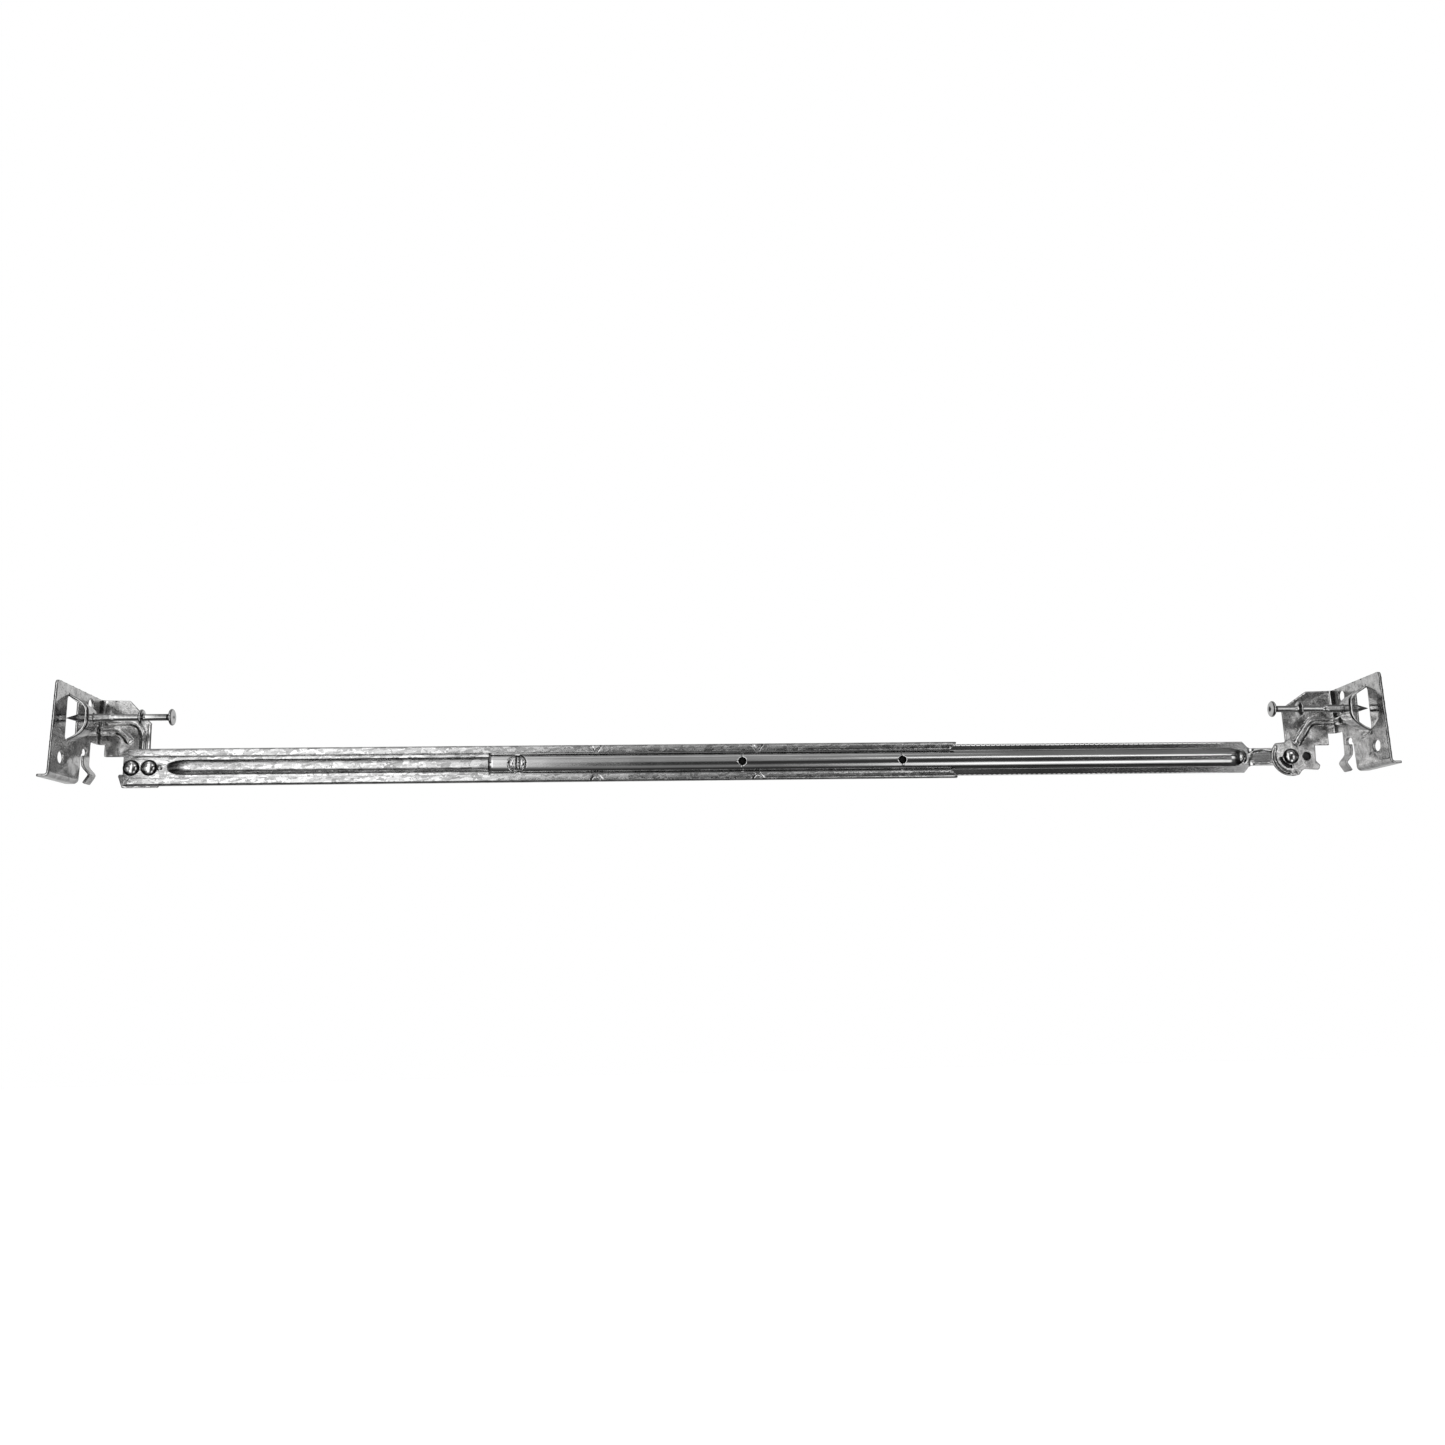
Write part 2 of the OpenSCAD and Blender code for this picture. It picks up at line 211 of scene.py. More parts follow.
def sheet_mesh(loops, us, vs, place, thickness, edge=0.12, step=0.45, mirrored=False):
    """Sheet metal: a flat drawing filled with a fine grid, then formed by place(u, v) -> points.

    The drawing's first loop is the outline and the others are holes. The surface that place gives
    is the middle of the sheet. Edges get a small bevel, as sheared steel has.
    """
    loops = [resampled(loop, step) for loop in loops]
    bound = np.array([p for loop in loops for p in loop])
    gu, gv = np.meshgrid(us, vs, indexing="ij")
    grid = np.stack([gu.ravel(), gv.ravel()], axis=1)
    grid = grid[inside(grid, loops)]
    clear = np.full(len(grid), 1e9)
    for k in range(0, len(grid), 2000):
        part = grid[k : k + 2000]
        clear[k : k + 2000] = np.sqrt(((part[:, None, :] - bound[None, :, :]) ** 2).sum(2)).min(1)
    grid = grid[clear > 0.55 * step]
    points = np.concatenate([bound, grid])
    edges, first = [], 0
    for loop in loops:
        n = len(loop)
        edges += [(first + i, first + (i + 1) % n) for i in range(n)]
        first += n
    coords, _, tris, _, _, _ = delaunay_2d_cdt([Vector(p) for p in points], edges, [], 0, 1e-6)
    flat = np.array([(c[0], c[1]) for c in coords])
    tris = np.array([t for t in tris if len(t) == 3])
    centre = flat[tris].mean(axis=1)
    tris = tris[inside(centre, loops)]
    a, b, c = flat[tris[:, 0]], flat[tris[:, 1]], flat[tris[:, 2]]
    area = (b[:, 0] - a[:, 0]) * (c[:, 1] - a[:, 1]) - (b[:, 1] - a[:, 1]) * (c[:, 0] - a[:, 0])
    tris = np.where((area < 0)[:, None], tris[:, ::-1], tris)

    d = 0.02
    mid = place(flat[:, 0], flat[:, 1])
    du = place(flat[:, 0] + d, flat[:, 1]) - place(flat[:, 0] - d, flat[:, 1])
    dv = place(flat[:, 0], flat[:, 1] + d) - place(flat[:, 0], flat[:, 1] - d)
    normal = np.cross(du, dv)
    normal /= np.linalg.norm(normal, axis=1)[:, None]
    du /= np.linalg.norm(du, axis=1)[:, None]
    dv /= np.linalg.norm(dv, axis=1)[:, None]

    # Boundary edges are those with one triangle; each knows which way leads out of the sheet.
    seen = {}
    for t in tris:
        for i in range(3):
            p, q = int(t[i]), int(t[(i + 1) % 3])
            seen.setdefault((min(p, q), max(p, q)), []).append((p, q))
    rim = [runs[0] for runs in seen.values() if len(runs) == 1]
    out = np.zeros((len(flat), 2))
    for p, q in rim:
        run = flat[q] - flat[p]
        side = np.array([run[1], -run[0]]) / (np.linalg.norm(run) + 1e-12)
        out[p] += side
        out[q] += side
    length = np.linalg.norm(out, axis=1)
    on_rim = length > 1e-9
    out[on_rim] /= length[on_rim][:, None]
    outward = out[:, :1] * du + out[:, 1:] * dv

    half = thickness / 2
    top = mid + normal * half - outward * edge * on_rim[:, None]
    low = mid - normal * half - outward * edge * on_rim[:, None]
    n = len(flat)
    verts = [top, low]
    ids = np.nonzero(on_rim)[0]
    upper = {int(v): 2 * n + i for i, v in enumerate(ids)}
    lower = {int(v): 2 * n + len(ids) + i for i, v in enumerate(ids)}
    verts += [mid[ids] + normal[ids] * (half - edge), mid[ids] - normal[ids] * (half - edge)]
    faces = [tuple(int(v) for v in t) for t in tris]
    faces += [tuple(int(v) + n for v in t[::-1]) for t in tris]
    for p, q in rim:
        faces.append((q, p, upper[p], upper[q]))
        faces.append((upper[q], upper[p], lower[p], lower[q]))
        faces.append((lower[q], lower[p], p + n, q + n))
    verts = np.concatenate(verts)
    if mirrored:
        verts[:, 0] = SPAN - verts[:, 0]
        faces = [f[::-1] for f in faces]
    used = sorted({v for f in faces for v in f})
    renumber = {v: i for i, v in enumerate(used)}
    return verts[used], [tuple(renumber[v] for v in f) for f in faces]


def lathe(profile, sides=64, shape=None):
    """A turned solid about X from (x, r) stations; shape(x, angle) scales the radius."""
    rings = []
    for x, r in profile:
        ring = []
        for k in range(sides):
            a = 2 * math.pi * k / sides
            rr = r * (shape(x, a) if shape else 1.0)
            ring.append((x, rr * math.cos(a), rr * math.sin(a)))
        rings.append(ring)
    verts = [p for ring in rings for p in ring]
    faces = []
    for i in range(len(rings) - 1):
        for k in range(sides):
            a, b = i * sides + k, i * sides + (k + 1) % sides
            faces.append((a, a + sides, b + sides, b))
    first, last = len(verts), len(verts) + 1
    verts += [(profile[0][0], 0, 0), (profile[-1][0], 0, 0)]
    end = (len(rings) - 1) * sides
    for k in range(sides):
        faces.append((first, k, (k + 1) % sides))
        faces.append((last, end + (k + 1) % sides, end + k))
    return np.array(verts, float), faces


def turned_to(verts, faces, direction, origin):
    """Puts a solid turned about X with its X axis along direction."""
    turn = Vector((1, 0, 0)).rotation_difference(Vector(direction)).to_matrix()
    m = np.array(turn)
    return verts @ m.T + np.array(origin), faces


# ---- materials ----


class Nodes:
    """Short names for building one material's nodes."""

    def __init__(self, name):
        self.material = bpy.data.materials.new(name)
        self.material.use_nodes = True
        self.tree = self.material.node_tree
        self.shader = self.tree.nodes["Principled BSDF"]

    def add(self, kind, **values):
        node = self.tree.nodes.new(kind)
        for key, value in values.items():
            if hasattr(node, key):
                setattr(node, key, value)
            else:
                node.inputs[key].default_value = value
        return node

    def link(self, source, target):
        self.tree.links.new(source, target)

    def coords(self, scale):
        where = self.add("ShaderNodeTexCoord")
        mapping = self.add("ShaderNodeMapping")
        mapping.inputs["Scale"].default_value = scale
        self.link(where.outputs["Object"], mapping.inputs["Vector"])
        return mapping.outputs["Vector"]

    def facing(self, axis):
        """How far the surface faces along one axis of its own object, from -1 to 1."""
        split = self.add("ShaderNodeSeparateXYZ")
        self.link(self.add("ShaderNodeTexCoord").outputs["Normal"], split.inputs[0])
        return split.outputs[axis]

    def noise(self, vector, scale, detail=4.0, roughness=0.55):
        node = self.add("ShaderNodeTexNoise")
        node.inputs["Scale"].default_value = scale
        node.inputs["Detail"].default_value = detail
        node.inputs["Roughness"].default_value = roughness
        self.link(vector, node.inputs["Vector"])
        return node.outputs["Fac"]

    def cells(self, vector, scale, randomness=1.0):
        node = self.add("ShaderNodeTexVoronoi")
        node.inputs["Scale"].default_value = scale
        node.inputs["Randomness"].default_value = randomness
        self.link(vector, node.inputs["Vector"])
        return node

    def ramp(self, value, stops):
        node = self.add("ShaderNodeValToRGB")
        elements = node.color_ramp.elements
        while len(elements) < len(stops):
            elements.new(0.5)
        for element, (at, colour) in zip(elements, stops):
            element.position = at
            element.color = (*colour, 1.0) if len(colour) == 3 else colour
        self.link(value, node.inputs["Fac"])
        return node.outputs["Color"]

    def spread(self, value, low, high, from_low=0.0, from_high=1.0):
        node = self.add("ShaderNodeMapRange")
        node.inputs["From Min"].default_value = from_low
        node.inputs["From Max"].default_value = from_high
        node.inputs["To Min"].default_value = low
        node.inputs["To Max"].default_value = high
        self.link(value, node.inputs["Value"])
        return node.outputs["Result"]

    def math(self, operation, a, b):
        node = self.add("ShaderNodeMath")
        node.operation = operation
        for socket, value in zip(node.inputs, (a, b)):
            if isinstance(value, (int, float)):
                socket.default_value = value
            else:
                self.link(value, socket)
        return node.outputs["Value"]

    def bump(self, height, strength, distance, normal=None):
        node = self.add("ShaderNodeBump")
        node.inputs["Strength"].default_value = strength
        node.inputs["Distance"].default_value = distance
        self.link(height, node.inputs["Height"])
        if normal is not None:
            self.link(normal, node.inputs["Normal"])
        return node.outputs["Normal"]


def grey(v, warm=0.0):
    """A grey colour, a little towards red where warm is above 0."""
    return (v * (1 + warm), v, v * (1 - warm))


def spangled_zinc(name, dark, light, rough_low, rough_high, crystal, tilt):
    """Hot-dip galvanised steel: crystals stretched by rolling, each with its own sheen and slant."""
    m = Nodes(name)
    m.shader.inputs["Metallic"].default_value = 1.0
    stretched = m.coords((0.30, 1.0, 1.0))
    warp = m.noise(m.coords((1.0, 1.0, 1.0)), 420, 3.0)
    offset = m.add("ShaderNodeVectorMath", operation="MULTIPLY_ADD")
    m.link(warp, offset.inputs[0])
    offset.inputs[1].default_value = (0.0030, 0.0030, 0.0030)
    m.link(stretched, offset.inputs[2])
    cells = m.cells(offset.outputs[0], crystal)
    shade = m.add("ShaderNodeSeparateColor")
    m.link(cells.outputs["Color"], shade.inputs["Color"])
    fine = m.noise(m.coords((0.12, 1.0, 1.0)), 2600, 5.0, 0.6)
    mix = m.math("ADD", m.math("MULTIPLY", shade.outputs[0], 0.62), m.math("MULTIPLY", fine, 0.38))
    between = tuple((a + b) / 2 for a, b in zip(dark, light))
    m.link(m.ramp(mix, [(0.22, dark), (0.5, between), (0.78, light)]), m.shader.inputs["Base Color"])
    m.link(m.spread(shade.outputs[1], rough_low, rough_high), m.shader.inputs["Roughness"])
    slant = m.bump(mix, tilt, 0.0001)
    scratch = m.noise(m.coords((0.03, 1.0, 1.0)), 5200, 3.0)
    m.link(m.bump(scratch, 0.10, 0.0001, slant), m.shader.inputs["Normal"])
    return m.material


def rolled_zinc(name, colour, rough_low, rough_high, streak, tail):
    """Smooth rolled galvanised strip: faint streaks along X and soft cloudy patches.

    Past x = tail its front is covered by the bracket's lobe and painted almost black there: painted shade.
    """
    m = Nodes(name)
    m.shader.inputs["Metallic"].default_value = 1.0
    cloud = m.noise(m.coords((0.35, 1.0, 1.0)), 120, 4.0)
    line = m.noise(m.coords((0.02, 1.0, 1.0)), 3200, 4.0, 0.65)
    mix = m.math("ADD", m.math("MULTIPLY", cloud, 0.5), m.math("MULTIPLY", line, 0.5))
    where = m.add("ShaderNodeSeparateXYZ")
    m.link(m.coords((1.0, 1.0, 1.0)), where.inputs[0])
    # Painted shade: front faces past x = tail are darkened to a twentieth, as in the lobe's shadow.
    lobe_painted_shade = m.spread(where.outputs["X"], 0.0, 0.95, tail, tail + 0.0006)
    lobe_painted_shade = m.math("MULTIPLY", lobe_painted_shade, m.spread(m.facing("Y"), 1.0, 0.0, -0.9, -0.5))
    unshaded_part = m.math("SUBTRACT", 1.0, lobe_painted_shade)
    shade = m.math("MULTIPLY", m.spread(mix, 0.72, 1.0, 0.30, 0.62), unshaded_part)
    m.link(m.ramp(shade, [(0.0, (0.0, 0.0, 0.0)), (1.0, colour)]), m.shader.inputs["Base Color"])
    m.link(m.spread(cloud, rough_low, rough_high, 0.3, 0.7), m.shader.inputs["Roughness"])
    m.link(m.bump(line, streak, 0.00012), m.shader.inputs["Normal"])
    return m.material


def satin_zinc(name, colour, rough_low, rough_high):
    """Pressed zinc-plated bracket: satin grey, mottled, with handling scuffs."""
    m = Nodes(name)
    m.shader.inputs["Metallic"].default_value = 1.0
    mottle = m.noise(m.coords((1.0, 1.0, 1.0)), 260, 5.0, 0.6)
    speck = m.noise(m.coords((1.0, 1.0, 1.0)), 1500, 4.0, 0.6)
    scuff = m.noise(m.coords((1.0, 0.25, 0.6)), 900, 3.0)
    mix = m.math("ADD", m.math("MULTIPLY", mottle, 0.6), m.math("MULTIPLY", speck, 0.4))
    low = tuple(c * 0.55 for c in colour)
    high = tuple(min(1.0, c * 1.28) for c in colour)
    m.link(m.ramp(mix, [(0.38, low), (0.5, colour), (0.62, high)]), m.shader.inputs["Base Color"])
    m.link(m.spread(scuff, rough_low, rough_high, 0.3, 0.7), m.shader.inputs["Roughness"])
    fine = m.bump(speck, 0.05, 0.0001)
    m.link(m.bump(mottle, 0.05, 0.0004, fine), m.shader.inputs["Normal"])
    return m.material


def polished_steel(name, colour, rough_low, rough_high, rim=1.0):
    """Bright plated steel; rim below 1 paints a dark ring on a rivet dome's steep edge, all round: a painted
    dark reflection.
    """
    m = Nodes(name)
    m.shader.inputs["Metallic"].default_value = 1.0
    cloud = m.noise(m.coords((1.0, 1.0, 1.0)), 900, 3.0)
    shade = m.spread(cloud, 0.85, 1.0, 0.35, 0.65)
    if rim < 1.0:
        # Painted reflection: where the surface turns away from Y the colour falls towards rim, a dark ring
        # round the dome.
        level = m.math("ABSOLUTE", m.facing("Y"), 0.0)
        shade = m.math("MULTIPLY", shade, m.spread(level, rim, 1.0, 0.76, 0.95))
    m.link(m.ramp(shade, [(0.0, (0.0, 0.0, 0.0)), (1.0, colour)]), m.shader.inputs["Base Color"])
    m.link(m.spread(cloud, rough_low, rough_high, 0.35, 0.65), m.shader.inputs["Roughness"])
    m.link(m.bump(cloud, 0.06, 0.0002), m.shader.inputs["Normal"])
    return m.material


outer_zinc = spangled_zinc("galvanised_spangle", grey(0.34), grey(0.84), 0.12, 0.28, 1250, 0.16)
# From 6.4 mm before the pivot on, the rail's front gets painted shade where the lobe covers it.
inner_zinc = rolled_zinc("galvanised_rolled", grey(0.74), 0.08, 0.15, 0.12, (PIVOT - 6.4) * MM)
flange_zinc = satin_zinc("satin_zinc", grey(0.68, 0.004), 0.11, 0.20)
# The rivets' domes get a painted dark reflection round their steep edge.
rivet_steel = polished_steel("polished_rivet", grey(0.86), 0.06, 0.14, 0.07)
# Near-black and rough: painted shadow for the cups in the score holes.
shadow_cup_steel = polished_steel("painted_shadow_steel", grey(0.02), 0.5, 0.7)
nail_steel = polished_steel("bright_nail", grey(0.72), 0.06, 0.14)


# ---- rails ----


def arc_path(points):
    """Arclength of a dense (z, y) path."""
    points = np.array(points, float)
    steps = np.linalg.norm(np.diff(points, axis=0), axis=1)
    return points, np.concatenate([[0], np.cumsum(steps)])


def rib_profile(foot, height, fillet, front, flat_half):
    """Half a rib's section, from its crown out along the flat: (z, y) with -y towards the front."""
    radius = (foot**2 + height**2) / (2 * height)
    # The fillet circle sits on the flat and touches the crown's circle.
    crown_y = height - radius
    zf = math.sqrt((radius + fillet) ** 2 - (fillet - crown_y) ** 2)
    touch = math.atan2(zf, fillet - crown_y)
    crown = [touch * k / 16 for k in range(17)]
    pts = [(radius * math.sin(a), crown_y + radius * math.cos(a)) for a in crown]
    for k in range(1, 9):
        a = touch * (1 - k / 8)
        pts.append((zf - fillet * math.sin(a), fillet - fillet * math.cos(a)))
    pts.append((flat_half, 0.0))
    return [(z, front - h) for z, h in pts]


def both_halves(half):
    """Mirrors half a section across the rail's middle."""
    return [(-z, y) for z, y in half[::-1]] + half[1:]


WEB_MID = WEB_FRONT + RAIL_SHEET / 2
LIP_MID = LIP_BACK - RAIL_SHEET / 2
CORNER = 0.6
# The rib and the flats beside it, as far across as they fade together at the rail's end.
RIB_REACH = 4.6


def outer_section():
    """The outer rail's section: rib, web, rounded corners and returned lips."""
    edge = OUTER_HALF - RAIL_SHEET / 2
    half = rib_profile(2.62, 1.9, 0.55, WEB_MID, edge - CORNER)
    pts = half
    for k in range(1, 9):
        a = math.pi / 2 * k / 8
        pts.append((edge - CORNER + CORNER * math.sin(a), WEB_MID - CORNER + CORNER * math.cos(a)))
    for k in range(0, 9):
        a = math.pi / 2 * k / 8
        pts.append((edge - CORNER + CORNER * math.cos(a), LIP_MID + CORNER - CORNER * math.sin(a)))
    pts.append((OUTER_HALF - 3.0, LIP_MID))
    return arc_path(both_halves(pts))


outer_pts, outer_len = outer_section()
OUTER_MIDDLE = outer_len[-1] / 2


def place_outer(u, v):
    """The forming of the outer rail: u runs along it and v across the unrolled sheet."""
    at = np.clip(v + OUTER_MIDDLE, 0, outer_len[-1])
    z = np.interp(at, outer_len, outer_pts[:, 0])
    y = np.interp(at, outer_len, outer_pts[:, 1])
    over = v + OUTER_MIDDLE - at
    z = z - np.sign(v) * np.abs(over)
    rib = np.abs(v) < RIB_REACH
    # The rib dies out at its left end in a long rounded nose.
    spine = np.hypot(np.maximum(OUTER_START + 24.0 - u, 0) / 2.1, v)
    nose = np.interp(np.clip(spine, 0, RIB_REACH) + OUTER_MIDDLE, outer_len, outer_pts[:, 1])
    y = np.where(rib, nose, y)
    pip = np.hypot(u - (RIVET_OUTER + PIP_RADIUS), z)
    y = y - np.where(rib, 0.32 * smooth((1.05 - pip) / 0.5), 0)
    # Each score mark spreads as a V of two creases from the lip's free edge to the rail's corner.
    from_score = np.minimum(*(np.abs(u - x) for x in OUTER_SCORES))
    crease = np.abs(from_score - 0.9 * (LIP_EDGE - np.abs(v)))
    y = y + np.where(np.abs(v) > LIP_ROOT, 0.24 * smooth((0.6 - crease) / 0.5), 0)
    return np.stack([u, y, z], axis=1)


LIP_EDGE = OUTER_MIDDLE
LIP_ROOT = float(
    outer_len[np.argmax((outer_pts[:, 0] > OUTER_HALF - RAIL_SHEET / 2 - 1e-6))] - OUTER_MIDDLE
)


def outer_outline():
    """The unrolled outer rail: clipped lip ends and a notch in each lip at each score."""
    corner_v = LIP_ROOT + 0.3
    upper = [(OUTER_START, corner_v - 0.9, 0.6), (OUTER_START + 2.0, corner_v - 0.4, 0.6),
             (OUTER_START + 2.8, LIP_EDGE, 1.3)]
    for x in OUTER_SCORES:
        upper += [(x - 0.8, LIP_EDGE), (x, LIP_EDGE - 1.3), (x + 0.8, LIP_EDGE)]
    upper += [(OUTER_END - 2.2, LIP_EDGE, 0.3), (OUTER_END, LIP_EDGE - 2.4, 0.3)]
    lower = [(x, -v, *r) for x, v, *r in upper[::-1]]
    return rounded(upper + lower)


def rail_us(start, end, coarse, fine_zones, fine):
    """Stations along a rail, closer together in the fine zones."""
    marks = set(np.round(np.arange(start, end, coarse), 4))
    for a, b in fine_zones:
        marks |= set(np.round(np.arange(a, b, fine), 4))
    return np.array(sorted(marks))


outer_loops = [outer_outline()]
outer_loops += [circle(x, 0, RIVET_HOLE_R) for x in (RIVET_INNER, RIVET_OUTER)]
outer_us = rail_us(OUTER_START, OUTER_END, 2.0,
                   [(OUTER_START, OUTER_START + 28)] + [(x - 4.0, x + 4.0) for x in OUTER_SCORES], 0.35)
outer_vs = np.arange(-LIP_EDGE, LIP_EDGE, 0.34)
outer_mesh = sheet_mesh(outer_loops, outer_us, outer_vs, place_outer, RAIL_SHEET, edge=0.1)
add_mesh("outer_rail_skin", *outer_mesh, "outer", outer_zinc, ("outer_rail",), "outer_rail_zinc")

inner_pts, inner_len = arc_path(
    both_halves(rib_profile(3.45, RIDGE_HEIGHT, 0.5, INNER_FRONT + RAIL_SHEET / 2, INNER_HALF))
)
INNER_MIDDLE = inner_len[-1] / 2
NECK_START = PIVOT - 19.2
NECK_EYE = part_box("inner_rail")[1][0] / MM - NECK_HALF
STOP_X = INNER_START + 11.2


def inner_v(z):
    """Distance across the unrolled inner rail of a height on it."""
    return float(np.interp(z, inner_pts[:, 0], inner_len) - INNER_MIDDLE)


def place_inner(u, v):
    """The forming of the inner rail: u runs along it and v across the unrolled sheet."""
    at = np.clip(v + INNER_MIDDLE, 0, inner_len[-1])
    over = v + INNER_MIDDLE - at
    z = np.interp(at, inner_len, inner_pts[:, 0]) + over
    # The ridge ends in a rounded nose at the neck.
    end = NECK_START + 0.6
    spine = np.hypot(np.maximum(u - (end - 6.4), 0) * 0.72, v)
    y = np.interp(np.clip(spine, 0, INNER_MIDDLE) + INNER_MIDDLE, inner_len, inner_pts[:, 1])
    # A pinched knob stands where the ridge dies out, with a slanting crease across it.
    knob = np.hypot((u - end + 0.9) / 1.9, z / 2.8)
    crease = np.exp(-(((u - end + 0.7 - 0.3 * z) / 0.4) ** 2))
    y = y - (1.1 - 0.4 * crease) * smooth((1.0 - knob) / 0.85)
    # The neck is pinched: its long edges stand a little proud of a leaf-shaped flat that leans back.
    neck = smooth((u - NECK_START - 2.2) / 2.0) * smooth((PIVOT - 4.5 - u) / 3.0)
    leaf = 1.0 + 1.3 * np.sin(np.clip((u - NECK_START - 2.0) / 13.0, 0, 1) * math.pi)
    y = y - 0.5 * neck * smooth((np.abs(z) - leaf) / 0.9)
    y = y + 0.10 * neck * z * smooth((leaf + 0.5 - np.abs(z)) / 0.5)
    # Round friction dimple, pressed in round a ring, with a small upright bar left across it.
    reach = np.hypot(u - STOP_X, z)
    ring = smooth((reach - 2.0) / 0.6) * smooth((3.6 - reach) / 0.5)
    bowl = smooth((2.6 - reach) / 0.8)
    bar = smooth((0.75 - np.abs(u - STOP_X - 0.25)) / 0.45) * smooth((3.0 - np.abs(z)) / 0.5)
    y = y + 0.55 * ring + 0.45 * bowl * (1 - bar) - 0.1 * bar
    for x in INNER_SCORES:
        y = y + 0.14 * smooth((0.38 - np.abs(u - x)) / 0.3) * (np.abs(z) < 3.6)
    pip = np.hypot(u - (PIVOT - PIP_RADIUS), z)
    y = y - 0.5 * smooth((0.8 - pip) / 0.4)
    return np.stack([u, y, z], axis=1)


def inner_outline():
    """The unrolled inner rail: clipped corners, the neck, the pivot's eye and the tail behind it."""
    edge = inner_v(INNER_HALF)
    neck = inner_v(NECK_HALF)
    shoulder = inner_v(INNER_HALF - 1.6)
    turn = math.asin(NECK_HALF / EYE_R)
    eye = [(PIVOT - EYE_R * math.cos(a), inner_v(EYE_R * math.sin(a)))
           for a in np.linspace(turn, math.pi - turn, 20)]
    eye += [(NECK_EYE + NECK_HALF * math.sin(a), neck * math.cos(a))
            for a in np.linspace(0, math.pi, 25)]
    eye += [(x, -v) for x, v in eye[19::-1]]
    upper = [(INNER_START, shoulder), (INNER_START + 1.9, edge), (NECK_START, edge),
             (NECK_START + 2.0, neck + 0.5, 0.8), (NECK_START + 3.2, neck)]
    lower = [(x, -v, *r) for x, v, *r in upper[::-1]]
    return rounded(upper + eye + lower)


inner_loops = [inner_outline(), circle(PIVOT, 0, RIVET_HOLE_R)]
inner_loops += [circle(x, 0, SCORE_HOLE_R) for x in INNER_SCORES]
inner_zones = [(STOP_X - 4.5, STOP_X + 4.5), (NECK_START - 6, PIVOT + 4)]
inner_zones += [(x - 1.6, x + 1.8) for x in INNER_SCORES]
inner_us = rail_us(INNER_START, NECK_EYE + 4, 2.0, inner_zones, 0.3)
inner_vs = np.arange(-INNER_MIDDLE, INNER_MIDDLE, 0.3)
inner_mesh = sheet_mesh(inner_loops, inner_us, inner_vs, place_inner, RAIL_SHEET, edge=0.1)
add_mesh("inner_rail_skin", *inner_mesh, "inner", inner_zinc, ("inner_rail",), "inner_rail_zinc")


# A shallow near-black cup closes each of the two score holes from behind: painted shadow where the hole shows
# dark.
for i, x in enumerate(INNER_SCORES):
    cup = lathe([(0.0, 0.02), (0.0, 1.35), (0.06, 1.46), (0.2, SCORE_HOLE_R), (0.2, 0.02)], 40)
    cup = turned_to(*cup, (0, -1, 0), (x, INNER_FRONT - RIDGE_HEIGHT + RAIL_SHEET, 0))
    add_mesh("score_hole_shadow_" + str(i + 1), *cup, "inner", shadow_cup_steel)


# ---- brackets, drawn for the left joist ----

BEND_MID = BEND_R + BRACKET_SHEET / 2
BEND_X = BRACKET_SHEET + BEND_R
ARC = BEND_MID * math.pi / 2
FOLD_MID = FOLD_R + BRACKET_SHEET / 2
FOLD_ARC = FOLD_MID * math.pi / 2
LIP_V = FOLD_Z - FOLD_ARC - (LIP_REACH - FOLD_R)
FINGER_SPLIT = 8.3
FINGER_ROOT = 9.0
# The nail strap's two slits: where each is along Y, and its lower and upper end.
NEAR_SLIT_Y = -5.2
NEAR_SLIT = (6.3, 24.0)
FAR_SLIT_Y = 2.8
FAR_SLIT = (8.0, 22.5)
FACET_TIP_Y = -11.9

finger_path = np.array([(0.45, FINGER_ROOT), (0.45, 0.6), (0.62, -0.5), (1.35, -1.6), (2.6, -2.95),
                        (3.1, -3.6), (3.12, -4.1), (2.75, -4.8), (1.25, -7.15)])
finger_steps = np.linalg.norm(np.diff(finger_path, axis=0), axis=1)
finger_run = np.concatenate([[0], np.cumsum(finger_steps)])
FINGER_LENGTH = float(finger_run[-1])

# How far the strap stands in, from its lower end at 0 to its upper end at 1.
STRAP_SCALE = 1.05
strap_x = softened_table([(0.0, 0.0), (0.03, 0.25), (0.09, 2.3), (0.17, 4.3), (0.27, 5.9), (0.36, 6.55),
                          (0.43, 6.7), (0.63, 6.7), (0.70, 6.5), (0.78, 5.6), (0.87, 3.7), (0.94, 1.5),
                          (0.985, 0.2), (1.0, 0.0)], blur=8)


